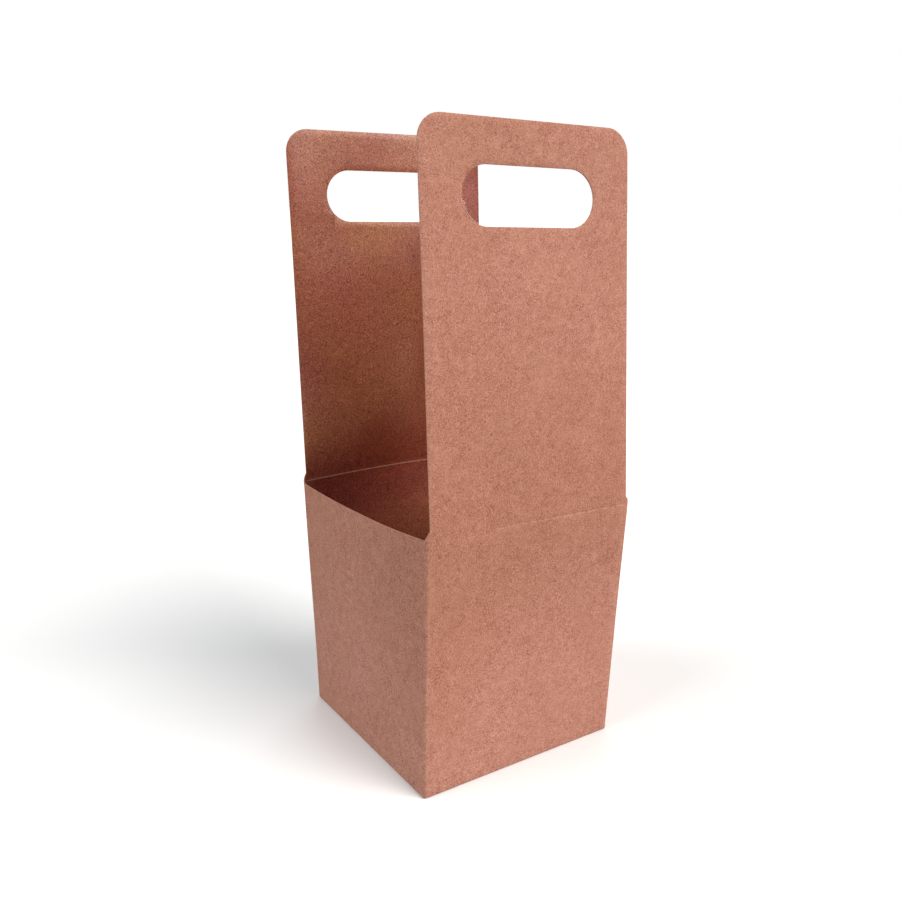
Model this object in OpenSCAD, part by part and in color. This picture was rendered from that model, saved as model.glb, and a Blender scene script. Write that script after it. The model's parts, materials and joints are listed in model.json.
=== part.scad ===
// Cup carrier folded from one sheet of kraft board: an open square box for one cup, with a slotted
// handle panel that stands up from its front wall and another that stands up from its back wall.
// Millimetres. +Z is up, the front faces -Y, and the origin is the centre of the base.

/* [Box] */
// Outside width of the front and back walls
box_w = 90; // [78:1:110]
// Outside depth of the side walls
box_d = 90; // [78:1:110]
// Height of the front and back walls, from the base to the creases of the handle panels
box_h = 100; // [70:1:150]
// Thickness of the board
board_t = 0.5; // [0.4:0.05:0.7]
// Outside radius of the four upright folds
fold_r = 1.2; // [1:0.1:2]
// Width of the bevel along the folds at the base
base_bevel = 0.3; // [0.15:0.05:0.3]
// Angle by which the open top has racked out of square, so that its corners make a rhombus
rack = 6.8; // [0:0.1:8]
// Depth of the dip in the top edge of each side wall
rim_dip = 2; // [0.5:0.1:8]

/* [Handle panels] */
// Height of a handle panel above its crease
panel_h = 140; // [100:1:180]
// Step from the upright fold in to the side edge of the panel
panel_step = 0.3; // [0.2:0.05:1]
// Radius of the top corners
corner_r = 9; // [3:0.5:15]
// Height of the sloping foot where the side edge runs out into the side wall
foot_h = 3.3; // [2:0.1:8]
// Distance that the foot runs back along the side wall
foot_run = 1.7; // [1.6:0.1:6]
// Angle by which the front panel leans back over the box
front_lean = 4.3; // [0:0.1:10]
// Angle by which the back panel leans back, away from the box
back_lean = 4; // [0:0.1:10]

/* [Finger slots] */
// Length of a finger slot
slot_w = 55; // [40:1:62]
// Height of a finger slot, which is also the diameter of its round ends
slot_h = 20; // [14:1:30]
// Board left between the slot and the top edge
slot_margin = 15; // [8:1:30]

/* [Creases] */
// How far the bead of a crease stands out of the inside face
bead_out = 0.35; // [0.2:0.05:0.5]
// Depth of the groove that the creasing rule leaves in the outside face
groove_depth = 0.15; // [0.1:0.01:0.2]
// Radius of the creasing rule
rule_r = 0.35; // [0.3:0.05:0.6]

/* [Glued corner] */
// Width of the glue flap inside the right wall, at the back corner
glue_flap_w = 15; // [8:1:30]
// Distance from the ends of the glue flap to the base and to the creases
glue_flap_end = 5; // [4:0.5:15]
// Width of the open seam beside the glued corner
seam_gap = 0.3; // [0.2:0.05:0.5]
// Depth of the open seam
seam_depth = 0.25; // [0.15:0.05:0.3]

/* [Bottom] */
// Reach of each glued side flap from its wall
side_flap_reach = 32; // [20:1:36]
// Distance by which the front and back flaps hook past the middle
lock_hook = 8; // [3:0.5:14]
// Half width of the slanted flank between the two hooks
lock_flank = 5; // [2:0.5:12]
// Gap between the bottom flaps
lock_gap = 0.5; // [0.3:0.1:1]
// How much narrower a bottom flap gets on each side by its free edge
flap_taper = 2; // [1:0.5:4]
// How far glued layers of board are pressed into each other
glue_press = 0.05; // [0.02:0.01:0.1]

/* [Hidden] */
$fn = 64;
rim_fn = 256;
wall_slices = 11;
board_colour = [0.77, 0.53, 0.43];
// Room by which a cut runs past the board that it cuts
clear = 2;
// Distance from a face of the board to its middle
half_t = board_t / 2;
panel_w = box_w - 2 * (fold_r + panel_step);
// The rim of a side wall runs between the feet of the two panels
rim_half = box_d / 2 - foot_run;
rim_r = (rim_half * rim_half + rim_dip * rim_dip) / (2 * rim_dip);
// The bead is a round roll that reaches from just inside the groove to its crown
bead_root = groove_depth / 3;
bead_d = board_t + bead_out + bead_root;
slot_mid = panel_h - slot_margin - slot_h / 2;
// The bottom flaps reach into the walls, behind the bevel
flap_root_in = (board_t - base_bevel) / 2;

// Racking keeps every side at its length, shortens one diagonal of the plan and lengthens the other
short_diagonal = cos(rack / 2) - sin(rack / 2);
long_diagonal = cos(rack / 2) + sin(rack / 2);

// Scale of the plan along its short and long diagonals at a height: square at the base, racked at the creases
function plan_scale(z) = [
    1 + (short_diagonal - 1) * z / box_h,
    1 + (long_diagonal - 1) * z / box_h
];

// Raises a plan from one height to another, and racks it on the way
module racked(z_low, z_high) {
    low = plan_scale(z_low);
    high = plan_scale(z_high);
    translate([0, 0, z_low])
        rotate(45)
            linear_extrude(
                height = z_high - z_low,
                scale = [high[0] / low[0], high[1] / low[1]],
                slices = wall_slices,
                segments = 0
            )
                scale(low)
                    rotate(-45)
                        children();
}

// Puts a shape on the crease of the front panel (side -1) or the back panel (side 1): X runs along the
// crease, Z up, and the middle of the board is at Y 0
module at_crease(side) {
    translate([-side * box_d / 2 * sin(rack / 2), side * box_d / 2 * cos(rack / 2), box_h])
        rotate(-rack / 2)
            translate([0, -side * half_t, 0])
                children();
}

// Puts a shape on the rim of the left wall (side -1) or the right wall (side 1): Y runs along the rim,
// Z up, and the outside face is at X 0
module at_rim(side) {
    translate([side * box_w / 2 * cos(rack / 2), -side * box_w / 2 * sin(rack / 2), box_h])
        rotate(rack / 2)
            children();
}

module rounded_plan(w, d, r) {
    square([w - 2 * r, d], center = true);
    square([w, d - 2 * r], center = true);
    for (x = [-1, 1], y = [-1, 1])
        translate([x * (w / 2 - r), y * (d / 2 - r)])
            circle(r = r, $fn = 24);
}

// The four walls seen from above, with the open seam where the right wall ends at the glued corner
module wall_plan() {
    difference() {
        rounded_plan(box_w, box_d, fold_r);
        rounded_plan(box_w - 2 * board_t, box_d - 2 * board_t, fold_r - board_t);
        translate([box_w / 2 - seam_depth, box_d / 2 - fold_r - seam_gap])
            square([seam_depth + clear, seam_gap]);
    }
}

module glue_flap_plan() {
    inside = [box_w / 2 - board_t + glue_press, box_d / 2 - board_t + glue_press];
    translate([inside[0] - board_t, inside[1] - glue_flap_w])
        square([board_t, glue_flap_w]);
}

// What is cut away over the rim of a side wall: a shallow arc between the slopes of two feet
module rim_cut_outline() {
    lean_out = foot_run / foot_h;
    low = -rim_dip - clear;
    high = foot_h + 2 * clear;
    intersection() {
        translate([0, rim_r - rim_dip])
            circle(r = rim_r, $fn = rim_fn);
        polygon([
            [-rim_half - low * lean_out, low],
            [rim_half + low * lean_out, low],
            [rim_half + high * lean_out, high],
            [-rim_half - high * lean_out, high]
        ]);
    }
}

module rim_cut(side) {
    inwards = fold_r + 2 * panel_step;
    outwards = foot_h + clear;
    at_rim(side)
        translate([side < 0 ? -outwards : -inwards, 0, 0])
            rotate([90, 0, 90])
                linear_extrude(height = inwards + outwards)
                    rim_cut_outline();
}

// Frees the top of the front or back wall between its two feet, where the panel stands
module crease_cut(side) {
    length = panel_w - panel_step;
    depth = 2 * (board_t + clear);
    at_crease(side)
        translate([-length / 2, -depth / 2, 0])
            cube([length, depth, foot_h + 2 * clear]);
}

module walls() {
    difference() {
        racked(0, box_h + foot_h + clear)
            wall_plan();
        for (side = [-1, 1]) {
            rim_cut(side);
            crease_cut(side);
        }
    }
    racked(glue_flap_end, box_h - glue_flap_end)
        glue_flap_plan();
}

module slot_outline() {
    straight = slot_w - slot_h;
    translate([0, slot_mid]) {
        square([straight, slot_h], center = true);
        for (x = [-1, 1])
            translate([x * straight / 2, 0])
                circle(d = slot_h);
    }
}

module panel_outline() {
    difference() {
        union() {
            translate([-panel_w / 2, 0])
                square([panel_w, panel_h - corner_r]);
            translate([-panel_w / 2 + corner_r, 0])
                square([panel_w - 2 * corner_r, panel_h]);
            for (x = [-1, 1])
                translate([x * (panel_w / 2 - corner_r), panel_h - corner_r])
                    circle(r = corner_r);
        }
        slot_outline();
    }
}

module handle_panel(side, lean) {
    at_crease(side)
        rotate([-lean, 0, 0])
            translate([0, half_t, 0])
                rotate([90, 0, 0])
                    linear_extrude(height = board_t)
                        panel_outline();
}

// A round bar along the crease, at a distance from the middle of the board towards the inside
module crease_bar(side, inwards, d, length) {
    at_crease(side)
        translate([-length / 2, -side * inwards, 0])
            rotate([0, 90, 0])
                cylinder(d = d, h = length);
}

module crease_bead(side) {
    crease_bar(side, (bead_out - bead_root) / 2, bead_d, panel_w + panel_step);
}

module crease_groove(side) {
    crease_bar(side, groove_depth - rule_r - half_t, 2 * rule_r, panel_w + 1.5 * panel_step);
}

// Front or back flap of the bottom, with the slanted hook that locks it to the other one
module lock_flap() {
    wall_y = -box_d / 2 + board_t - flap_root_in;
    root = box_w / 2 - fold_r - lock_gap;
    tip = root - flap_taper;
    linear_extrude(height = board_t)
        polygon([
            [-root, wall_y],
            [root, wall_y],
            [tip, -lock_hook - lock_gap / 2],
            [lock_flank - lock_gap / 2, -lock_hook - lock_gap / 2],
            [-lock_flank - lock_gap / 2, lock_hook - lock_gap / 2],
            [-tip, lock_hook - lock_gap / 2]
        ]);
}

// Side flap of the bottom, folded in first and glued on top of the front and back flaps
module side_flap() {
    wall_x = -box_w / 2 + board_t - flap_root_in;
    root = box_d / 2 - fold_r - lock_gap;
    tip = root - side_flap_reach;
    translate([0, 0, board_t - glue_press])
        linear_extrude(height = board_t)
            polygon([
                [wall_x, -root],
                [wall_x + side_flap_reach, -tip],
                [wall_x + side_flap_reach, tip],
                [wall_x, root]
            ]);
}

module bottom() {
    for (turn = [0, 180])
        rotate(turn) {
            lock_flap();
            side_flap();
        }
}

// The space that the carrier may fill, bevelled all round its base
module base_envelope() {
    low = [box_w - 2 * base_bevel, box_d - 2 * base_bevel];
    high = [box_w + 2 * base_bevel, box_d + 2 * base_bevel];
    top = [2 * box_w, 2 * box_d];
    linear_extrude(height = 2 * base_bevel, scale = [high[0] / low[0], high[1] / low[1]])
        square(low, center = true);
    translate([-top[0] / 2, -top[1] / 2, 2 * base_bevel])
        cube([top[0], top[1], box_h + foot_h + clear]);
}

module carrier() {
    color(board_colour)
        difference() {
            union() {
                intersection() {
                    union() {
                        walls();
                        bottom();
                    }
                    base_envelope();
                }
                handle_panel(-1, front_lean);
                handle_panel(1, back_lean);
                for (side = [-1, 1])
                    crease_bead(side);
            }
            for (side = [-1, 1])
                crease_groove(side);
        }
}

carrier();
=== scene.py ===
"""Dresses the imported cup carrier: one sheet of kraft board, creased, folded and glued, in a pale studio."""

import json
import math

import bmesh
import bpy
from bpy.props import FloatProperty, FloatVectorProperty, PointerProperty
from bpy.types import Operator, Panel, PropertyGroup
from mathutils import Euler, Matrix, Vector

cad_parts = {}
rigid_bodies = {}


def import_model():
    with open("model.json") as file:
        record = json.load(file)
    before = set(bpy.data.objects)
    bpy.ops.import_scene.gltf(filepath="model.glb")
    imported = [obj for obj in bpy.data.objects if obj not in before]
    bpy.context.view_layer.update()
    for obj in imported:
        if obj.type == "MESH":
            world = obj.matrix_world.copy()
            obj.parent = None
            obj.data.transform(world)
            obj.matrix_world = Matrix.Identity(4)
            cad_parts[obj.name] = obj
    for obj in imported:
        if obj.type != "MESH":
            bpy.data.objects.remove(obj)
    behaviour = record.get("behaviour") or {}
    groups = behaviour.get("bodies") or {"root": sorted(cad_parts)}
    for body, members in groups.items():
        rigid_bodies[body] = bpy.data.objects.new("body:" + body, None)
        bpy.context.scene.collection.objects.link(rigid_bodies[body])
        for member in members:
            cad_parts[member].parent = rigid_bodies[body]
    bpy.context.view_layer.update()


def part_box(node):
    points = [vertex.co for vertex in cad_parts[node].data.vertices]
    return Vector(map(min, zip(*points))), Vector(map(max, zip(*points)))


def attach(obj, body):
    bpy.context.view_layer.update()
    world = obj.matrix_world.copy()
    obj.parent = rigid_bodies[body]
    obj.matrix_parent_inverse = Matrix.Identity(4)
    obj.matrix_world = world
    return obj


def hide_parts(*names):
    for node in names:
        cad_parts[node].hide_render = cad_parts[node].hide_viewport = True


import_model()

bl_info = {
    "name": "Cup carrier",
    "version": (1, 0, 0),
    "blender": (4, 5, 0),
    "location": "3D View > Sidebar > Cup carrier",
    "description": "Folds a cup carrier from one sheet of kraft board and sets it in a pale studio",
    "category": "Add Mesh",
}

MM = 0.001
NODE = "carrier"
BODY = "root"

# Places on the board that are closer than this are one place
TOUCH = 0.01 * MM
# The floor lies this far below the base, so that the two don't share a plane
FLOOR_GAP = 0.05 * MM
# The camera sees nothing that is nearer than this
CAMERA_NEAR = 1 * MM
# Sides of the box along Y: the front wall and the back wall
FRONT = -1
BACK = 1
# Places of the finishes in the board's list of materials
OUTSIDE, INSIDE, EDGE, TORN = range(4)
# Steps in the round of an upright fold, of a fold at the base, of a panel's corner, of a finger slot's end
# and of a crushed edge
FOLD_STEPS = 6
BASE_STEPS = 4
CORNER_STEPS = 12
SLOT_STEPS = 24
EDGE_STEPS = 2
# Faces that meet at a smaller angle than this look like one smooth face
SMOOTH_ANGLE = math.radians(50)
# Torn fibres at the left end of the front slot: the angles on its round where each starts and ends, and how
# far it bows outwards over the face, or inwards over the slot
TORN_FIBRES = (
    (187, 193, 1.0 * MM),
    (191, 199, -0.8 * MM),
    (196, 206, 0.5 * MM),
    (202, 208, -0.5 * MM),
    (206, 228, 0.1 * MM),
    (224, 246, 0.1 * MM),
)

# Name of the board's own measure of its lighter tone: bare fibres, and a painted highlight on upright folds
BARE_FIBRES_AND_HIGHLIGHT = "bare_fibres_and_highlight"
# How much lighter the upright folds are painted: bare fibres and a painted highlight
FOLD_BARE_FIBRES_AND_HIGHLIGHT = 0.15
# Share of its full depth to which a crease is pressed at most, and how bare its fibres are at most
MOST_PRESSED = 0.6
MOST_WORN = 0.6
# The front crease gets deeper and barer to the right: both values at its left end, where no fibre is bare,
# and what they gain on the way to its right end
LEFT_PRESSED = 0.2
PRESSED_GAIN = 0.6
LEFT_WORN = -0.2
WORN_GAIN = 1.2
# How steeply the bulge of the back crease falls off, at the left corner and at its peak: up the panel, and
# down the wall
PANEL_STEEPNESS = (7, 2)
WALL_STEEPNESS = (1, 3)

# Middle value of a noise
NOISE_MIDDLE = 0.5
# The parts of the pulp's grain: their waves in a metre and their weights
FINE_WAVES = 2300
FINE_WEIGHT = 0.85
FELT_WAVES = 1400
FELT_WEIGHT = 0.6
CLOUD_WAVES = 330
CLOUD_WEIGHT = 0.36
MOTTLE_WAVES = 90
MOTTLE_WEIGHT = 0.18
STRAND_WAVES = 560
STRAND_WEIGHT = -0.25
# Middle value of the clumps in the grain, and how clumped the grain of the inside is
CLUMP_MIDDLE = 0.25
INSIDE_CLUMPED = 0.5
# Values of the grain that give the darkest and the lightest fibres
FIBRE_RANGE = (0.72, 1.23)
# What breaks up the bare fibres and painted highlight along a fold: waves in a metre, the values of the noise
# where they start and where they are full, and the least share of them that is left on each face
WORN_WAVES = 500
WORN_RANGE = (0.4, 0.6)
OUTSIDE_LEAST_WORN = 0.1
INSIDE_LEAST_WORN = 0.7
# Specks of bark: cells in a metre, the distances from a cell's middle where a speck fades and is gone, how
# strong it is, and the share of cells without one
SPECK_CELLS = 150
SPECK_FADE = (0.03, 0.09)
SPECK_STRENGTH = 0.7
SPECK_RARITY = 0.75
# Golden and brown patches of the outside: waves in a metre, where in the noise the golden ones start, the
# values of the noise where a patch starts and where it is full, and the most that a brown one covers
KRAFT_WAVES = 7
KRAFT_START = (13, -18, -8)
KRAFT_RANGE = (0.35, 0.65)
BROWN_WAVES = 45
BROWN_RANGE = (0.42, 0.72)
BROWN_MOST = 0.3
# Patches of painted light, sheen and shade on the inside: waves in a metre, and where in the noise they start
PAINTED_LIGHT_WAVES = 14
PAINTED_LIGHT_START = (2, -5, -30)
PAINTED_SHEEN_WAVES = 18
PAINTED_SHEEN_START = (28, -2, 11)
PAINTED_SHADE_WAVES = 18
PAINTED_SHADE_START = (-31, 29, 1)
PAINTED_DEEP_SHADE_WAVES = 14
PAINTED_DEEP_SHADE_START = (13, 1, 25)
# Values of the noise, broken up by a share of the fibres, where a patch of painted light and shade starts and
# is full
PAINTED_PATCH_RANGE = (0.5, 0.72)
FIBRE_BREAK = 0.1
WHITE = (1, 1, 1)
# Roughness of the darkest and the lightest fibres of each face, of bare pulp and of the floor
OUTSIDE_ROUGHNESS = (0.85, 0.7)
INSIDE_ROUGHNESS = (0.42, 0.3)
PULP_ROUGHNESS = 0.9
FLOOR_ROUGHNESS = 0.95
# How much light each face and bare pulp mirror
OUTSIDE_SHINE = 0.35
INSIDE_SHINE = 0.81
PULP_SHINE = 0.2
# Strength and depth of the relief of each face
OUTSIDE_RELIEF = (0.35, 0.15 * MM)
INSIDE_RELIEF = (0.5, 0.3 * MM)
# The parts of the relief of the inside: waves in a metre, and their weights beside that of the fibres
SWELL_WAVES = 28
SWELL_WEIGHT = 8
RIPPLE_WAVES = 240
RIPPLE_WEIGHT = 0.5
RELIEF_FIBRE_WEIGHT = 0.12

BOX_HEIGHT = 100 * MM
BACK_LEAN = math.radians(4)
# The back panel reaches the top of the solid
PANEL_HEIGHT = (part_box(NODE)[1][2] - BOX_HEIGHT) / math.cos(BACK_LEAN)


def number(name, description, default, **kind):
    return FloatProperty(name=name, description=description, default=default, **kind)


def length(name, description, default):
    return number(name, description, default, unit="LENGTH", subtype="DISTANCE")


def angle(name, description, default):
    return number(name, description, default, unit="ROTATION", subtype="ANGLE")


def vector(name, description, default, **kind):
    return FloatVectorProperty(name=name, description=description, default=default, **kind)


def colour(name, description, default):
    return vector(name, description, default, subtype="COLOR", min=0, max=1)


def direction(name, description, default):
    return vector(name, description, default, subtype="DIRECTION")


class BoardSizes(PropertyGroup):
    """Sizes of the folded board"""

    box_width: length("Box width", "Outside width of the front and back walls", 90 * MM)
    box_depth: length("Box depth", "Outside depth of the side walls", 90 * MM)
    box_height: length("Box height", "From the base to the creases of the handle panels", BOX_HEIGHT)
    thickness: length("Thickness", "Thickness of the board", 0.5 * MM)
    fold_radius: length("Fold radius", "Outside radius of the upright folds", 1.2 * MM)
    base_radius: length("Base radius", "Outside radius of the folds at the base", 0.8 * MM)
    rack: angle("Rack", "Angle by which the open top has racked out of square", math.radians(6.8))
    rim_dip: length("Rim dip", "Depth of the dip in the top edge of a side wall", 2 * MM)
    rim_drop: length("Rim drop", "How far a side wall's top edge sinks towards the back", 0.9 * MM)
    panel_height: length("Panel height", "Height of a handle panel above its crease", PANEL_HEIGHT)
    panel_step: length("Panel step", "Step from the upright fold in to the panel's side edge", 0.3 * MM)
    corner_radius: length("Corner radius", "Radius of a panel's top corners", 9 * MM)
    foot_height: length("Foot height", "Height of the sloping foot at a panel's side edge", 3.3 * MM)
    foot_run: length("Foot run", "Distance that the foot runs back along the side wall", 1.7 * MM)
    front_lean: angle("Front lean", "Angle by which the front panel leans over the box", math.radians(4.3))
    back_lean: angle("Back lean", "Angle by which the back panel leans away from the box", BACK_LEAN)
    front_twist: angle("Front twist", "Turn of the front panel's top edge", math.radians(1.25))
    front_slope: angle("Front slope", "Fall of the front panel's top edge to the right", math.radians(1))
    back_bulge: length("Back bulge", "How far the back crease stands out at most", 6.9 * MM)
    bulge_peak: length("Bulge peak", "How far right of the middle it stands out most", 12 * MM)
    bulge_reach: length("Bulge reach", "How far the bulge reaches up the panel and down the wall", 100 * MM)
    slot_width: length("Slot width", "Length of a finger slot", 55 * MM)
    slot_height: length("Slot height", "Height of a finger slot", 20 * MM)
    slot_margin: length("Slot margin", "Board left between a slot and the top edge", 15 * MM)
    crease_depth: length("Crease depth", "Depth to which the rule has pressed a crease", 0.18 * MM)
    crease_half: length("Crease half width", "Half of the width of a pressed crease", 0.4 * MM)
    glue_flap_width: length("Glue flap width", "Width of the flap inside the right wall", 15 * MM)
    glue_flap_end: length("Glue flap end", "Distance from the flap's ends to the base and the crease", 5 * MM)
    seam_gap: length("Seam gap", "Width of the open seam beside the glued corner", 0.3 * MM)
    side_flap_reach: length("Side flap reach", "Reach of a side flap of the bottom from its wall", 32 * MM)
    lock_hook: length("Lock hook", "Distance by which the front and back flaps hook past the middle", 8 * MM)
    lock_gap: length("Lock gap", "Gap between the bottom flaps", 0.5 * MM)
    flap_taper: length("Flap taper", "How much narrower a bottom flap gets on each side", 2 * MM)
    glue_gap: length("Glue gap", "Space between glued layers of board", 0.04 * MM)
    grid: length("Grid", "Distance between the rows and columns of the mesh", 5 * MM)
    edge_round: length("Edge round", "Radius of the crushed corners of the cut edges", 0.12 * MM)
    cockle: length("Cockle", "Height of the slow waves in the board", 0.5 * MM)
    cockle_span: length("Cockle span", "Distance between the slow waves in the board", 60 * MM)
    torn_radius: length("Torn fibre radius", "Radius of the torn fibres at the front slot", 0.06 * MM)
    torn_lift: length("Torn fibre lift", "How far the torn fibres stand off the face", 0.1 * MM)

    @property
    def panel_width(self):
        return self.box_width - 2 * (self.fold_radius + self.panel_step)

    @property
    def rim_half(self):
        return self.box_depth / 2 - self.foot_run

    @property
    def slot_middle(self):
        return self.box_height + self.panel_height - self.slot_margin - self.slot_height / 2


class BoardColours(PropertyGroup):
    """Colours of the board's two faces and its cut edge"""

    outside_light: colour("Outside light", "Light fibres of the outside", (0.697, 0.343, 0.260))
    outside_dark: colour("Outside dark", "Dark fibres of the outside", (0.338, 0.119, 0.072))
    golden: colour("Golden", "Tint of the widest patches of the outside", (0.834, 0.788, 0.708))
    patch: colour("Patches", "Slow brown patches of the outside", (0.42, 0.18, 0.11))
    inside_light: colour("Inside light", "Light fibres of the inside", (0.776, 0.302, 0.153))
    inside_dark: colour("Inside dark", "Dark fibres of the inside", (0.239, 0.059, 0.027))
    # Painted shade: tint of the inside away from its patches of painted light
    inside_painted_shade: colour("Inside shade", "Tint of the inside off its light patches", (0.585, 0.40, 0.40))
    # Painted shade and painted sheen: tints of the inside off and on its golden patches of painted sheen
    inside_off_painted_sheen: colour("Inside red", "Tint of the inside off its golden patches", (0.80, 0.73, 0.87))
    inside_painted_sheen: colour("Inside golden", "Tint of the golden patches of the inside", (0.91, 1.0, 0.83))
    # Painted shade: tints of the inside away from two more layers of patches
    inside_painted_dark: colour("Inside seal", "Tint of the inside off its sealed patches", (0.84, 0.75, 0.77))
    inside_painted_deep_shade: colour("Inside deep", "Tint of the inside off its pale patches", (0.798, 0.728, 0.765))
    gloss: colour("Gloss", "Tint of the sealed inside's gloss", (0.98, 1.0, 0.89))
    # Lighter tone along creases and folds: bare fibres, and on the upright folds also a painted highlight
    bare_fibres_and_highlight_tone: colour("Worn fibres", "Light fibres that show along a crease", (0.70, 0.42, 0.32))
    edge_light: colour("Edge light", "Light fibres of the cut edge", (0.62, 0.33, 0.24))
    edge_dark: colour("Edge dark", "Dark fibres of the cut edge", (0.40, 0.18, 0.12))
    torn_light: colour("Torn light", "Light parts of the torn fibres", (1.0, 0.78, 0.66))
    torn_dark: colour("Torn dark", "Dark parts of the torn fibres", (0.92, 0.64, 0.52))
    speck: colour("Specks", "Specks of bark in the board", (0.11, 0.05, 0.035))


class StudioSettings(PropertyGroup):
    """Camera, floor and light"""

    camera_place: vector(
        "Camera place",
        "Where the camera stands",
        (-200.155 * MM, -297.921 * MM, 211.524 * MM),
        subtype="TRANSLATION",
        unit="LENGTH",
    )
    heading: angle("Heading", "Turn of the camera from +Y towards +X", math.radians(34.459))
    tilt: angle("Tilt", "How far the camera looks down", math.radians(15.777))
    roll: angle("Roll", "Turn of the camera about its own axis", math.radians(0.802))
    lens: number("Lens", "Focal length of the camera", 37.086, unit="CAMERA", subtype="DISTANCE_CAMERA")
    shift_x: number("Shift across", "Shift of the frame to the right, as a share of its width", -0.022)
    shift_y: number("Shift up", "Shift of the frame upwards, as a share of its width", 0.0201)
    floor: colour("Floor", "Colour of the floor", (0.95, 0.95, 0.95))
    floor_size: length("Floor size", "Width of the floor", 60)
    sky_strength: number("Sky strength", "Strength of the even white light all round", 0.2)
    key_spread: angle("Key spread", "How wide the soft light from the front is in the sky", math.radians(50))
    key: colour("Key", "Colour of the soft light from the front", (1.0, 0.96, 0.92))
    key_strength: number("Key strength", "Strength of the soft light from the front", 3.7)
    key_from: direction("Key from", "Where the soft light from the front comes from", (0.55, -1, 0.8))
    fill_spread: angle("Fill spread", "How wide the soft light from the left is in the sky", math.radians(50))
    fill: colour("Fill", "Colour of the soft light from the left", (0.93, 0.98, 1.0))
    fill_strength: number("Fill strength", "Strength of the soft light from the left", 2.0)
    fill_from: direction("Fill from", "Where the soft light from the left comes from", (-1, 0.25, 0.6))
    back_strength: number("Back strength", "Strength of the soft light from behind", 0.7)
    back_from: direction("Back from", "Where the soft light from behind comes from", (0.8, 1, 0.9))


def near(a, b):
    return abs(a - b) < TOUCH


def whole(edge, test):
    """True if both ends of an edge pass a test of a place."""
    return all(test(vertex.co) for vertex in edge.verts)


def pick(board, kind, test):
    """Selects the vertices, edges or faces of the board that pass a test. At least one has to."""
    bpy.ops.mesh.select_mode(type=kind)
    bpy.ops.mesh.select_all(action="DESELECT")
    mesh = bmesh.from_edit_mesh(board.data)
    parts = {"VERT": mesh.verts, "EDGE": mesh.edges, "FACE": mesh.faces}[kind]
    chosen = [part for part in parts if test(part)]
    if not chosen:
        raise RuntimeError(f"no {kind} of the board passes the test")
    for part in chosen:
        part.select_set(True)
    mesh.select_flush_mode()
    bmesh.update_edit_mesh(board.data)


def pull(offset):
    """Extrudes what is selected by an offset, and leaves the new end selected."""
    bpy.ops.mesh.extrude_region_move(TRANSFORM_OT_translate={"value": offset})


def slice_all(axis, places):
    """Cuts the whole mesh by planes across an axis."""
    for place in places:
        bpy.ops.mesh.select_all(action="SELECT")
        bpy.ops.mesh.bisect(plane_co=axis * place, plane_no=axis)


def steps_within(half, pitch):
    """Places at a pitch on both sides of the middle, short of the ends."""
    count = math.ceil(half / pitch) - 1
    return [pitch * step for step in range(-count, count + 1)]


def face_outwards():
    """Turns all faces of the mesh that is worked on outwards."""
    bpy.ops.object.mode_set(mode="EDIT")
    bpy.ops.mesh.select_all(action="SELECT")
    bpy.ops.mesh.normals_make_consistent(inside=False)
    bpy.ops.object.mode_set(mode="OBJECT")


def add_open_box(sizes):
    """Adds the box as a cube, rounds its upright folds and its folds at the base, and opens its two ends."""
    bpy.ops.object.select_all(action="DESELECT")
    bpy.ops.mesh.primitive_cube_add(
        size=1,
        location=(0, 0, sizes.box_height / 2),
        scale=(sizes.box_width, sizes.box_depth, sizes.box_height),
    )
    bpy.ops.object.transform_apply(location=True, rotation=True, scale=True)
    board = bpy.context.object
    board.name = "folded_board"
    board.data.name = "folded_board"
    bpy.ops.object.mode_set(mode="EDIT")
    pick(board, "EDGE", lambda edge: not near(edge.verts[0].co.z, edge.verts[1].co.z))
    bpy.ops.mesh.bevel(offset=sizes.fold_radius, segments=FOLD_STEPS, affect="EDGES")
    pick(board, "EDGE", lambda edge: whole(edge, lambda place: near(place.z, 0)))
    bpy.ops.mesh.bevel(offset=sizes.base_radius, segments=BASE_STEPS, affect="EDGES")
    pick(board, "FACE", lambda face: near(abs(face.normal.z), 1))
    bpy.ops.mesh.delete(type="FACE")
    return board


def foot_share(place, sizes):
    """How far a place on a fold is along the sloping cut of the foot: 0 at the panel, 1 at the rim."""
    across = abs(place.x) - (sizes.box_width / 2 - sizes.fold_radius)
    along = abs(place.y) - (sizes.box_depth / 2 - sizes.fold_radius)
    if across < TOUCH:
        return 0
    whole_run = sizes.fold_radius * math.pi / 2 + sizes.foot_run - sizes.fold_radius
    run = sizes.fold_radius * math.atan2(across, max(along, 0)) + max(-along, 0)
    return (run + sizes.panel_step) / (whole_run + sizes.panel_step)


def stand_panels(board, sizes):
    """Pulls the feet and the handle panels up from the top edges of the front and back walls."""
    crease = sizes.box_height
    foot_top = crease + sizes.foot_height
    panel_top = crease + sizes.panel_height
    slice_all(Vector((0, 1, 0)), (-sizes.rim_half, sizes.rim_half))

    def on_foot_line(place):
        return near(place.z, crease) and abs(place.y) > sizes.rim_half - TOUCH

    pick(board, "EDGE", lambda edge: whole(edge, on_foot_line))
    pull((0, 0, sizes.foot_height))
    mesh = bmesh.from_edit_mesh(board.data)
    for vertex in mesh.verts:
        if vertex.co.z > crease + TOUCH:
            vertex.co.z -= sizes.foot_height * foot_share(vertex.co, sizes)
    bmesh.update_edit_mesh(board.data)
    bpy.ops.mesh.select_all(action="SELECT")
    bpy.ops.mesh.remove_doubles(threshold=TOUCH)

    pick(board, "EDGE", lambda edge: whole(edge, lambda place: near(place.z, foot_top)))
    narrower = sizes.panel_width / (sizes.box_width - 2 * sizes.fold_radius)
    bpy.ops.transform.resize(value=(narrower, 1, 1), center_override=(0, 0, foot_top))
    pull((0, 0, panel_top - foot_top))
    pick(board, "VERT", lambda vertex: near(vertex.co.z, panel_top))
    bpy.ops.mesh.bevel(offset=sizes.corner_radius, segments=CORNER_STEPS, affect="VERTICES")


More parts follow.
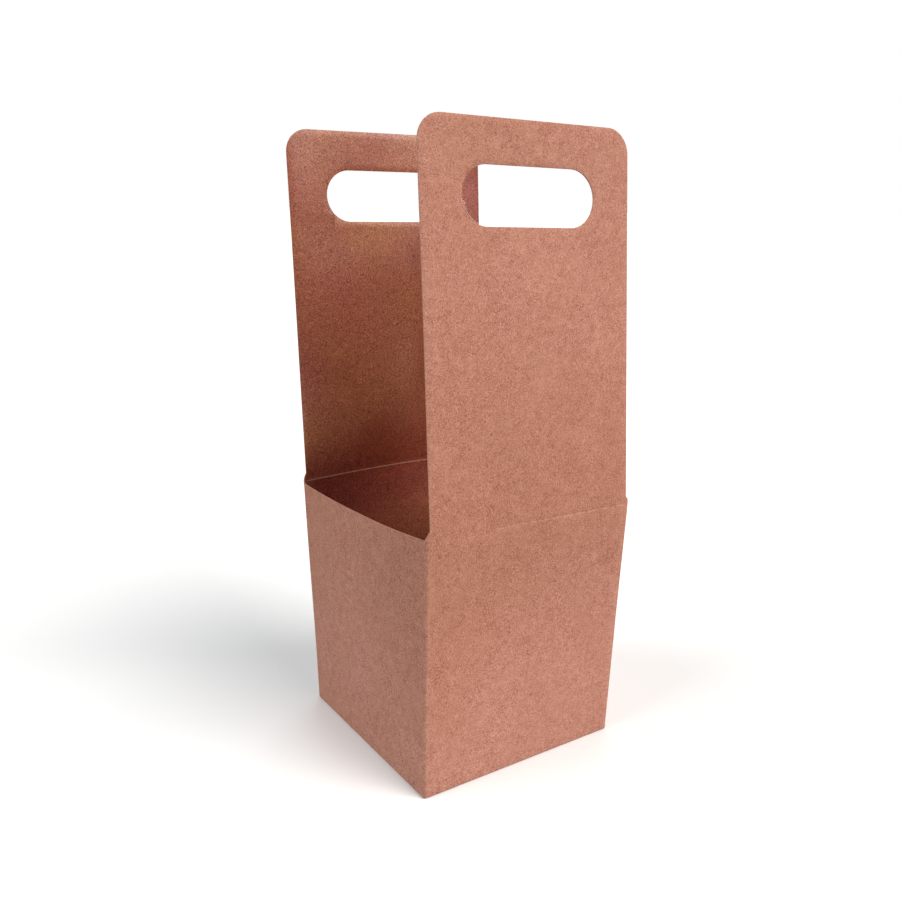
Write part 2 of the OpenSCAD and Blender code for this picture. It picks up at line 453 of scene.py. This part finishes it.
def cut_grid(sizes):
    """Cuts rows and columns into the sheet, so that it can bend, and a close row on each side of a crease."""
    slice_all(Vector((1, 0, 0)), steps_within(sizes.panel_width / 2, sizes.grid))
    slice_all(Vector((0, 1, 0)), steps_within(sizes.rim_half, sizes.grid))
    crease = sizes.box_height

    def rows_within(height):
        return [row for row in steps_within(height, sizes.grid) if row > 0]

    wall_rows = rows_within(crease)
    # Half a pitch lower, so that no row runs along an edge of a slot
    panel_rows = [crease + row - sizes.grid / 2 for row in rows_within(sizes.panel_height)]
    crease_rows = [crease - sizes.crease_half, crease + sizes.crease_half]
    slice_all(Vector((0, 0, 1)), wall_rows + crease_rows + panel_rows)


def press_creases(board, sizes):
    """Presses the panels' creases inwards, bares fibres along them, and paints the upright folds lighter as
    bare fibres and a painted highlight.
    """
    mesh = bmesh.from_edit_mesh(board.data)
    bare_fibres_and_highlight = mesh.verts.layers.float.new(BARE_FIBRES_AND_HIGHLIGHT)
    fold_x = sizes.box_width / 2 - sizes.fold_radius - TOUCH
    fold_y = sizes.box_depth / 2 - sizes.fold_radius - TOUCH
    for vertex in mesh.verts:
        if abs(vertex.co.x) > fold_x and abs(vertex.co.y) > fold_y:
            vertex[bare_fibres_and_highlight] = FOLD_BARE_FIBRES_AND_HIGHLIGHT
        at_crease = near(vertex.co.z, sizes.box_height) and near(abs(vertex.co.y), sizes.box_depth / 2)
        if not at_crease or abs(vertex.co.x) > sizes.panel_width / 2:
            continue
        front = vertex.co.y < 0
        share = vertex.co.x / sizes.panel_width + 1 / 2
        pressed = min(MOST_PRESSED, LEFT_PRESSED + PRESSED_GAIN * share) if front else MOST_PRESSED
        vertex.co.y += sizes.crease_depth * pressed * (1 if front else -1)
        vertex[bare_fibres_and_highlight] = max(0, min(MOST_WORN, LEFT_WORN + WORN_GAIN * share)) if front else MOST_WORN
    bmesh.update_edit_mesh(board.data)


def cut_slots(board, sizes):
    """Cuts the finger slots out of both panels with one long punch."""
    punch_depth = 2 * sizes.box_depth
    end_radius = sizes.slot_height / 2
    straight = sizes.slot_width / 2 - end_radius
    bpy.ops.mesh.select_all(action="DESELECT")
    bpy.ops.mesh.primitive_cube_add(
        size=1,
        location=(0, 0, sizes.slot_middle),
        scale=(sizes.slot_width, punch_depth, sizes.slot_height),
    )
    pick(board, "EDGE", lambda edge: edge.calc_length() > sizes.box_depth)
    bpy.ops.mesh.bevel(offset=end_radius - TOUCH, segments=SLOT_STEPS, affect="EDGES")
    bpy.ops.mesh.select_linked()
    bpy.ops.mesh.intersect(mode="SELECT_UNSELECT", separate_mode="CUT", solver="FAST")

    def in_punch(face):
        middle = face.calc_center_median()
        if middle.z < sizes.box_height + sizes.foot_height:
            return False
        if not near(abs(middle.y), sizes.box_depth / 2):
            return True
        across = max(abs(middle.x) - straight, 0)
        return math.hypot(across, middle.z - sizes.slot_middle) < end_radius

    pick(board, "FACE", in_punch)
    bpy.ops.mesh.delete(type="FACE")


def open_seam(board, sizes):
    """Opens the seam beside the glued corner, and runs the glue flap along the inside of the right wall."""
    wall = sizes.box_width / 2
    fold_end = sizes.box_depth / 2 - sizes.fold_radius
    raw_edge = fold_end - sizes.seam_gap
    pick(board, "FACE", lambda face: near(face.calc_center_median().x, wall))
    bpy.ops.mesh.bisect(plane_co=(0, raw_edge, 0), plane_no=(0, 1, 0))

    def in_seam(face):
        middle = face.calc_center_median()
        return near(middle.x, wall) and raw_edge < middle.y < fold_end

    pick(board, "FACE", in_seam)
    bpy.ops.mesh.delete(type="FACE")

    def on_flap_root(place):
        in_reach = sizes.glue_flap_end - TOUCH < place.z < sizes.box_height - sizes.glue_flap_end + TOUCH
        return near(place.x, wall) and near(place.y, fold_end) and in_reach

    inwards = sizes.thickness + sizes.glue_gap
    pick(board, "EDGE", lambda edge: whole(edge, on_flap_root))
    pull((-inwards, -inwards, 0))
    pull((0, inwards - sizes.glue_flap_width, 0))
    end_taper = 1 - 2 * sizes.flap_taper / sizes.box_height
    bpy.ops.transform.resize(value=(1, 1, end_taper), center_override=(0, 0, sizes.box_height / 2))


def fold_bottom(board, sizes):
    """Pulls the four bottom flaps in from the folds at the base: two with hooks, and two glued on top."""
    root_x = sizes.box_width / 2 - sizes.base_radius
    root_y = sizes.box_depth / 2 - sizes.base_radius
    rise = sizes.thickness + sizes.glue_gap

    def pick_root(axis, root):
        def on_root(place):
            return near(place.z, 0) and near(getattr(place, axis), root)

        pick(board, "EDGE", lambda edge: whole(edge, on_root))

    for side in (FRONT, BACK):
        inwards = -side
        pick_root("y", side * root_y)
        pull((0, inwards * (root_y - sizes.lock_gap / 2), 0))
        tip = (root_x - sizes.flap_taper) / root_x
        bpy.ops.transform.resize(value=(tip, 1, 1), center_override=(0, 0, 0))
        for hook in (-1, 1):
            def on_hook(vertex):
                on_edge = near(vertex.co.z, 0) and near(vertex.co.y, side * sizes.lock_gap / 2)
                return on_edge and vertex.co.x * side * hook > sizes.grid / 2

            pick(board, "VERT", on_hook)
            bpy.ops.transform.translate(value=(0, inwards * hook * sizes.lock_hook, 0))
        pick_root("x", side * root_x)
        pull((inwards * sizes.fold_radius, 0, rise))
        pull((inwards * (sizes.side_flap_reach - 2 * sizes.fold_radius), 0, 0))
        side_tip = (root_y - sizes.side_flap_reach) / root_y
        bpy.ops.transform.resize(value=(1, side_tip, 1), center_override=(0, 0, 0))


def racked(plan, sizes):
    """Where racking takes a place of the square plan at the creases: every side keeps its length."""
    kept = math.cos(sizes.rack / 2)
    moved = math.sin(sizes.rack / 2)
    x, y = plan
    return Vector((x * kept - y * moved, y * kept - x * moved))


def lean_panel(place, sizes):
    """Where a place of an upright panel goes when it leans, twists and turns with its racked crease."""
    front = place.y < 0
    lean = sizes.front_lean if front else sizes.back_lean
    twist = sizes.front_twist if front else 0
    side = FRONT if front else BACK
    wall = side * sizes.box_depth / 2
    board_middle = Vector((0, wall - side * sizes.thickness / 2, sizes.box_height))
    slope = sizes.front_slope if front else 0
    height = (place.z - sizes.box_height) / sizes.panel_height
    turn = Matrix.Rotation(twist * height - sizes.rack / 2, 3, "Z")
    upright = place - board_middle - Vector((0, 0, math.tan(slope) * height * place.x))
    leaning = Matrix.Rotation(-lean, 3, "X") @ upright + Vector((0, board_middle.y - wall, 0))
    foot = racked((0, wall), sizes)
    return turn @ leaning + Vector((foot.x, foot.y, sizes.box_height))


def sink_rim(place, sizes):
    """Lowers a place of a side wall: a shallow dip between the feet, and a small drop towards the back."""
    on_side = (abs(place.x) - sizes.box_width / 2 + sizes.fold_radius) / sizes.fold_radius
    along = place.y / sizes.rim_half
    sink = sizes.rim_drop * max(0, along) * min(max(on_side, 0), 1)
    if near(abs(place.x), sizes.box_width / 2) and abs(along) < 1:
        sink += sizes.rim_dip * (1 - along * along)
    return place.z - sink * place.z / sizes.box_height


def bulge(place, sizes):
    """How far a place of the back wall or panel stands out, because the back crease has given way."""
    fold = sizes.box_width / 2 - sizes.fold_radius
    if place.y < sizes.box_depth / 2 - sizes.fold_radius / 2 or abs(place.x) > fold:
        return 0
    off_peak = place.x - sizes.bulge_peak
    left = off_peak < 0
    across = abs(off_peak) / (fold + sizes.bulge_peak if left else fold - sizes.bulge_peak)
    height = place.z - sizes.box_height
    by_corner, by_peak = PANEL_STEEPNESS if height > 0 else WALL_STEEPNESS
    steepness = by_peak + (by_corner - by_peak) * (1 - (1 - across) ** 2) if left else by_peak
    near_crease = max(0, 1 - abs(height) / sizes.bulge_reach)
    return sizes.back_bulge * math.cos(math.pi / 2 * across) * near_crease ** steepness


def bend_board(board, sizes):
    """Gives the square box and its upright panels their pose: racked top, dipped rims, leaning panels."""
    for vertex in board.data.vertices:
        place = vertex.co.copy()
        stands_out = bulge(place, sizes)
        place.z = sink_rim(place, sizes)
        if vertex.co.z > sizes.box_height + TOUCH:
            vertex.co = lean_panel(place, sizes)
        else:
            square = place.xy
            plan = square.lerp(racked(square, sizes), max(vertex.co.z, 0) / sizes.box_height)
            vertex.co = (plan.x, plan.y, place.z)
        vertex.co.y += stands_out


def add_modifier(board, kind, **settings):
    """Adds a modifier, sets it and applies it."""
    modifier = board.modifiers.new(kind.title(), kind)
    for name, value in settings.items():
        setattr(modifier, name, value)
    bpy.ops.object.modifier_apply(modifier=modifier.name)


def stands(place, sizes):
    """True for a place of the standing board, above the flat base."""
    return place.z > sizes.grid / 2


def give_thickness(board, sizes):
    """Waves the sheet a little above its flat base, and gives it its thickness and a finish for each side."""
    waves = bpy.data.textures.new("slow waves of the board", "CLOUDS")
    waves.noise_scale = sizes.cockle_span
    waves.noise_depth = 0
    standing = board.vertex_groups.new(name="standing board")
    standing.add([vertex.index for vertex in board.data.vertices if stands(vertex.co, sizes)], 1, "REPLACE")
    add_modifier(
        board,
        "DISPLACE",
        texture=waves,
        texture_coords="LOCAL",
        strength=sizes.cockle,
        mid_level=NOISE_MIDDLE,
        vertex_group=standing.name,
    )
    board.vertex_groups.clear()
    add_modifier(
        board,
        "SOLIDIFY",
        thickness=sizes.thickness,
        offset=-1,
        use_even_offset=True,
        material_offset=INSIDE,
        material_offset_rim=EDGE,
    )


def round_edges(board, sizes):
    """Rounds the corners of the standing board's cut edges, which cutting has crushed."""
    bpy.ops.object.mode_set(mode="EDIT")

    def on_cut_corner(edge):
        cut_faces = [face for face in edge.link_faces if face.material_index == EDGE]
        return len(cut_faces) == 1 and whole(edge, lambda place: stands(place, sizes))

    pick(board, "EDGE", on_cut_corner)
    bpy.ops.mesh.bevel(offset=sizes.edge_round, segments=EDGE_STEPS, affect="EDGES")
    bpy.ops.object.mode_set(mode="OBJECT")


def tear_fibres(board, sizes):
    """Leaves torn fibres at the left end of the front slot, where the waste was pushed out."""
    radius = sizes.slot_height / 2
    face = -sizes.box_depth / 2 - sizes.torn_lift
    middle = Vector((radius - sizes.slot_width / 2, face, sizes.slot_middle))

    def by_rim(degrees, off):
        turn = math.radians(degrees)
        return lean_panel(middle + (radius + off) * Vector((math.cos(turn), 0, math.sin(turn))), sizes)

    strands = []
    for start, end, bow in TORN_FIBRES:
        bpy.ops.object.select_all(action="DESELECT")
        bpy.ops.curve.primitive_bezier_curve_add()
        strand = bpy.context.object
        for point, degrees in zip(strand.data.splines[0].bezier_points, (start, end)):
            point.handle_left_type = "FREE"
            point.handle_right_type = "FREE"
            point.co = by_rim(degrees, 0)
            point.handle_left = by_rim(degrees, bow)
            point.handle_right = by_rim(degrees, bow)
        strand.data.bevel_depth = sizes.torn_radius
        strand.data.bevel_resolution = 1
        strand.data.use_fill_caps = True
        strand.data.materials.append(board.data.materials[TORN])
        bpy.ops.object.convert(target="MESH")
        add_modifier(strand, "WELD", merge_threshold=TOUCH)
        face_outwards()
        strands.append(strand)
    for strand in strands:
        strand.select_set(True)
    board.select_set(True)
    bpy.context.view_layer.objects.active = board
    bpy.ops.object.join()


def new_material(name):
    material = bpy.data.materials.new(name)
    material.use_nodes = True
    return material, material.node_tree.nodes["Principled BSDF"]


def plug(material, value, socket):
    """Gives a socket its value: another socket is wired to it, and a colour is made opaque."""
    if isinstance(value, bpy.types.NodeSocket):
        material.node_tree.links.new(value, socket)
    elif socket.type == "RGBA":
        socket.default_value = (*value, 1)
    else:
        socket.default_value = value


def add_node(material, kind, **inputs):
    """Adds a node and gives its inputs their values."""
    node = material.node_tree.nodes.new(kind)
    for name, value in inputs.items():
        plug(material, value, node.inputs[name.replace("_", " ")])
    return node


def noise(material, waves, detail=2.0, roughness=0.5, distortion=0.0, start=(0, 0, 0)):
    """Noise on the piece's own coordinates: its waves in a metre, and where in the noise it starts."""
    place = add_node(material, "ShaderNodeTexCoord")
    waved = add_node(
        material,
        "ShaderNodeMapping",
        Vector=place.outputs["Object"],
        Location=start,
        Scale=(waves, waves, waves),
    )
    texture = add_node(
        material,
        "ShaderNodeTexNoise",
        Vector=waved.outputs["Vector"],
        Scale=1.0,
        Detail=detail,
        Roughness=roughness,
        Distortion=distortion,
    )
    return texture.outputs["Fac"]


def combine(material, operation, *values):
    node = material.node_tree.nodes.new("ShaderNodeMath")
    node.operation = operation
    for socket, value in zip(node.inputs, values):
        plug(material, value, socket)
    return node.outputs["Value"]


def spread(material, value, low, high, to_low=0.0, to_high=1.0):
    """Maps a range of values onto another, and holds it at the ends."""
    node = add_node(
        material,
        "ShaderNodeMapRange",
        Value=value,
        From_Min=low,
        From_Max=high,
        To_Min=to_low,
        To_Max=to_high,
    )
    return node.outputs["Result"]


def blend(material, share, a, b, way="MIX"):
    """Mixes two colours by a share, or in another way such as a tint."""
    node = material.node_tree.nodes.new("ShaderNodeMix")
    node.data_type = "RGBA"
    node.blend_type = way
    named = {socket.identifier: socket for socket in node.inputs}
    for name, value in (("Factor_Float", share), ("A_Color", a), ("B_Color", b)):
        plug(material, value, named[name])
    outputs = {socket.identifier: socket for socket in node.outputs}
    return outputs["Result_Color"]


def weighted(material, parts):
    """Adds up values, each times its weight."""
    total = 0.0
    for value, weight in parts:
        total = combine(material, "MULTIPLY_ADD", value, weight, total)
    return total


def fibres(material, clumped=1.0):
    """The grain of pulp: fine fibres over a coarser felt and small clouds, more or less clumped."""
    fine = noise(material, FINE_WAVES, detail=1)
    felt = noise(material, FELT_WAVES, detail=3, roughness=0.65)
    clouds = noise(material, CLOUD_WAVES, detail=3, roughness=0.6)
    curls = noise(material, STRAND_WAVES, distortion=1.5)
    strands = combine(material, "ABSOLUTE", combine(material, "SUBTRACT", curls, NOISE_MIDDLE))
    mottle = noise(material, MOTTLE_WAVES, detail=2)
    parts = ((clouds, CLOUD_WEIGHT), (mottle, MOTTLE_WEIGHT), (strands, STRAND_WEIGHT))
    clumps = weighted(material, parts)
    evened = combine(material, "MULTIPLY_ADD", clumps, clumped, CLUMP_MIDDLE * (1 - clumped))
    return weighted(material, ((fine, FINE_WEIGHT), (felt, FELT_WEIGHT), (evened, 1)))


def bare_fibres_and_highlight_share(material, least):
    """Where a fold is lighter, as bare fibres and on the upright folds a painted highlight, broken up down to
    a least share.
    """
    attribute = material.node_tree.nodes.new("ShaderNodeAttribute")
    attribute.attribute_name = BARE_FIBRES_AND_HIGHLIGHT
    broken = spread(material, noise(material, WORN_WAVES), *WORN_RANGE, to_low=least)
    return combine(material, "MULTIPLY", attribute.outputs["Fac"], broken)


def specks(material):
    """Rare dark specks: the middles of a few scattered cells."""
    place = add_node(material, "ShaderNodeTexCoord")
    cells = add_node(material, "ShaderNodeTexVoronoi", Vector=place.outputs["Object"], Scale=SPECK_CELLS)
    middle = spread(material, cells.outputs["Distance"], *SPECK_FADE, to_low=SPECK_STRENGTH, to_high=0)
    chosen = combine(material, "GREATER_THAN", cells.outputs["Color"], SPECK_RARITY)
    return combine(material, "MULTIPLY", middle, chosen)


def painted_light_and_shade(material, fibre, layers):
    """Painted light and shade: tints that slow patches lay over each other, with edges that the fibres break
    up.
    """
    painted_tint = WHITE
    for waves, start, low, high in layers:
        slow = noise(material, waves, detail=1, start=start)
        patches = weighted(material, ((slow, 1), (fibre, FIBRE_BREAK)))
        tint = blend(material, spread(material, patches, *PAINTED_PATCH_RANGE), low, high)
        painted_tint = blend(material, 1, painted_tint, tint, "MULTIPLY")
    return painted_tint


def bump(material, height, strength, depth):
    node = add_node(material, "ShaderNodeBump", Height=height, Strength=strength, Distance=depth)
    return node.outputs["Normal"]


def outside_finish(colours):
    """Uncoated kraft: matt, with fine fibres, slow patches and a few specks."""
    material, shader = new_material("kraft outside")
    links = material.node_tree.links
    fibre = fibres(material)
    tone = blend(material, spread(material, fibre, *FIBRE_RANGE), colours.outside_dark, colours.outside_light)
    wide = noise(material, KRAFT_WAVES, detail=1, start=KRAFT_START)
    tone = blend(material, spread(material, wide, *KRAFT_RANGE), tone, colours.golden, "MULTIPLY")
    brown = noise(material, BROWN_WAVES, detail=4, roughness=0.6)
    tone = blend(material, spread(material, brown, *BROWN_RANGE, to_high=BROWN_MOST), tone, colours.patch)
    tone = blend(material, specks(material), tone, colours.speck)
    tone = blend(material, bare_fibres_and_highlight_share(material, OUTSIDE_LEAST_WORN), tone, colours.bare_fibres_and_highlight_tone)
    links.new(tone, shader.inputs["Base Color"])
    links.new(spread(material, fibre, *FIBRE_RANGE, *OUTSIDE_ROUGHNESS), shader.inputs["Roughness"])
    links.new(bump(material, fibre, *OUTSIDE_RELIEF), shader.inputs["Normal"])
    shader.inputs["Specular IOR Level"].default_value = OUTSIDE_SHINE
    return material


def inside_finish(colours):
    """The sealed inside face: smoother and darker, a soft gloss that small waves break up, painted shade and
    sheen.
    """
    material, shader = new_material("kraft inside")
    links = material.node_tree.links
    fibre = fibres(material, clumped=INSIDE_CLUMPED)
    tone = blend(material, spread(material, fibre, *FIBRE_RANGE), colours.inside_dark, colours.inside_light)
    layers = (
        (PAINTED_LIGHT_WAVES, PAINTED_LIGHT_START, colours.inside_painted_shade, WHITE),
        (PAINTED_SHEEN_WAVES, PAINTED_SHEEN_START, colours.inside_off_painted_sheen, colours.inside_painted_sheen),
        (PAINTED_SHADE_WAVES, PAINTED_SHADE_START, colours.inside_painted_dark, WHITE),
        (PAINTED_DEEP_SHADE_WAVES, PAINTED_DEEP_SHADE_START, colours.inside_painted_deep_shade, WHITE),
    )
    # Painted light and shade: slow patches darken the inside as painted shade and tint it golden as painted
    # sheen
    painted_tint = painted_light_and_shade(material, fibre, layers)
    tone = blend(material, 1, tone, painted_tint, "MULTIPLY")
    tone = blend(material, specks(material), tone, colours.speck)
    tone = blend(material, bare_fibres_and_highlight_share(material, INSIDE_LEAST_WORN), tone, colours.bare_fibres_and_highlight_tone)
    links.new(tone, shader.inputs["Base Color"])
    links.new(spread(material, fibre, *FIBRE_RANGE, *INSIDE_ROUGHNESS), shader.inputs["Roughness"])
    swell = noise(material, SWELL_WAVES, detail=1)
    ripple = noise(material, RIPPLE_WAVES, detail=3)
    parts = ((swell, SWELL_WEIGHT), (ripple, RIPPLE_WEIGHT), (fibre, RELIEF_FIBRE_WEIGHT))
    links.new(bump(material, weighted(material, parts), *INSIDE_RELIEF), shader.inputs["Normal"])
    # The gloss takes the same painted light and shade as the colour
    links.new(blend(material, 1, colours.gloss, painted_tint, "MULTIPLY"), shader.inputs["Specular Tint"])
    shader.inputs["Specular IOR Level"].default_value = INSIDE_SHINE
    return material


def pulp_finish(name, dark, light):
    """Bare pulp: matt, with fibres between a dark and a light tone."""
    material, shader = new_material(name)
    tone = blend(material, spread(material, fibres(material), *FIBRE_RANGE), dark, light)
    material.node_tree.links.new(tone, shader.inputs["Base Color"])
    shader.inputs["Roughness"].default_value = PULP_ROUGHNESS
    shader.inputs["Specular IOR Level"].default_value = PULP_SHINE
    return material


def add_floor(studio):
    bpy.ops.object.select_all(action="DESELECT")
    bpy.ops.mesh.primitive_plane_add(size=studio.floor_size, location=(0, 0, -FLOOR_GAP))
    floor = bpy.context.object
    floor.name = "studio_floor"
    material, shader = new_material("studio floor")
    shader.inputs["Base Color"].default_value = (*studio.floor, 1)
    shader.inputs["Roughness"].default_value = FLOOR_ROUGHNESS
    shader.inputs["Specular IOR Level"].default_value = 0
    floor.data.materials.append(material)
    # The floor throws no light up at the board
    floor.visible_diffuse = False


def add_soft_light(name, tint, strength, spread_angle, comes_from):
    """Adds a wide soft light, the same all over the floor."""
    bpy.ops.object.light_add(type="SUN")
    light = bpy.context.object
    light.name = name
    light.data.color = tint
    light.data.energy = strength
    light.data.angle = spread_angle
    light.rotation_euler = Vector(comes_from).to_track_quat("Z", "Y").to_euler()


def light_sky(studio):
    """Lights the scene evenly from all round, in front of a white backdrop."""
    world = bpy.data.worlds.new("white studio")
    world.use_nodes = True
    tree = world.node_tree
    sky = tree.nodes["Background"]
    sky.inputs["Color"].default_value = (*WHITE, 1)
    sky.inputs["Strength"].default_value = studio.sky_strength
    backdrop = tree.nodes.new("ShaderNodeBackground")
    backdrop.inputs["Color"].default_value = (*WHITE, 1)
    seen = tree.nodes.new("ShaderNodeLightPath")
    either = tree.nodes.new("ShaderNodeMixShader")
    tree.links.new(seen.outputs["Is Camera Ray"], either.inputs["Fac"])
    tree.links.new(sky.outputs["Background"], either.inputs[1])
    tree.links.new(backdrop.outputs["Background"], either.inputs[2])
    tree.links.new(either.outputs["Shader"], tree.nodes["World Output"].inputs["Surface"])
    bpy.context.scene.world = world


def place_camera(studio):
    bpy.ops.object.camera_add(location=studio.camera_place)
    camera = bpy.context.object
    camera.name = "photo_camera"
    level = Euler((math.pi / 2 - studio.tilt, 0, -studio.heading)).to_matrix()
    camera.rotation_euler = (level @ Matrix.Rotation(studio.roll, 3, "Z")).to_euler()
    camera.data.lens = studio.lens
    camera.data.shift_x = studio.shift_x
    camera.data.shift_y = studio.shift_y
    camera.data.clip_start = CAMERA_NEAR
    bpy.context.scene.camera = camera


class CARRIER_OT_fold_board(Operator):
    """Fold the carrier from one sheet of kraft board"""

    bl_idname = "carrier.fold_board"
    bl_label = "Fold board"
    bl_options = {"REGISTER", "UNDO"}

    def execute(self, context):
        sizes = context.scene.board_sizes
        colours = context.scene.board_colours
        board = add_open_box(sizes)
        stand_panels(board, sizes)
        cut_grid(sizes)
        press_creases(board, sizes)
        cut_slots(board, sizes)
        open_seam(board, sizes)
        fold_bottom(board, sizes)
        face_outwards()
        bend_board(board, sizes)
        for finish in (
            outside_finish(colours),
            inside_finish(colours),
            pulp_finish("kraft cut edge", colours.edge_dark, colours.edge_light),
            pulp_finish("torn fibres", colours.torn_dark, colours.torn_light),
        ):
            board.data.materials.append(finish)
        give_thickness(board, sizes)
        round_edges(board, sizes)
        tear_fibres(board, sizes)
        bpy.ops.object.shade_smooth_by_angle(angle=SMOOTH_ANGLE)
        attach(board, BODY)
        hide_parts(NODE)
        return {"FINISHED"}


class CARRIER_OT_set_stage(Operator):
    """Set the floor, the light and the camera"""

    bl_idname = "carrier.set_stage"
    bl_label = "Set stage"
    bl_options = {"REGISTER", "UNDO"}

    def execute(self, context):
        studio = context.scene.studio_settings
        add_floor(studio)
        light_sky(studio)
        add_soft_light("key_light", studio.key, studio.key_strength, studio.key_spread, studio.key_from)
        add_soft_light("fill_light", studio.fill, studio.fill_strength, studio.fill_spread, studio.fill_from)
        add_soft_light("back_light", studio.fill, studio.back_strength, studio.fill_spread, studio.back_from)
        place_camera(studio)
        context.scene.view_settings.view_transform = "Standard"
        return {"FINISHED"}


class CARRIER_PT_panel(Panel):
    """Lists the steps that build the carrier and its stage"""

    bl_idname = "CARRIER_PT_panel"
    bl_label = "Cup carrier"
    bl_space_type = "VIEW_3D"
    bl_region_type = "UI"
    bl_category = "Cup carrier"

    def draw(self, context):
        for operator in OPERATORS:
            self.layout.operator(operator.bl_idname)
        for name, group in GROUPS.items():
            box = self.layout.box()
            for field in group.__annotations__:
                box.prop(getattr(context.scene, name), field)


OPERATORS = (CARRIER_OT_fold_board, CARRIER_OT_set_stage)
GROUPS = {"board_sizes": BoardSizes, "board_colours": BoardColours, "studio_settings": StudioSettings}


def register():
    for group in GROUPS.values():
        bpy.utils.register_class(group)
    for operator in OPERATORS:
        bpy.utils.register_class(operator)
    bpy.utils.register_class(CARRIER_PT_panel)
    for name, group in GROUPS.items():
        setattr(bpy.types.Scene, name, PointerProperty(type=group))


def unregister():
    for name in GROUPS:
        delattr(bpy.types.Scene, name)
    bpy.utils.unregister_class(CARRIER_PT_panel)
    for operator in reversed(OPERATORS):
        bpy.utils.unregister_class(operator)
    for group in reversed(GROUPS.values()):
        bpy.utils.unregister_class(group)


def main():
    register()
    bpy.ops.carrier.fold_board()
    bpy.ops.carrier.set_stage()


if __name__ == "__main__":
    main()
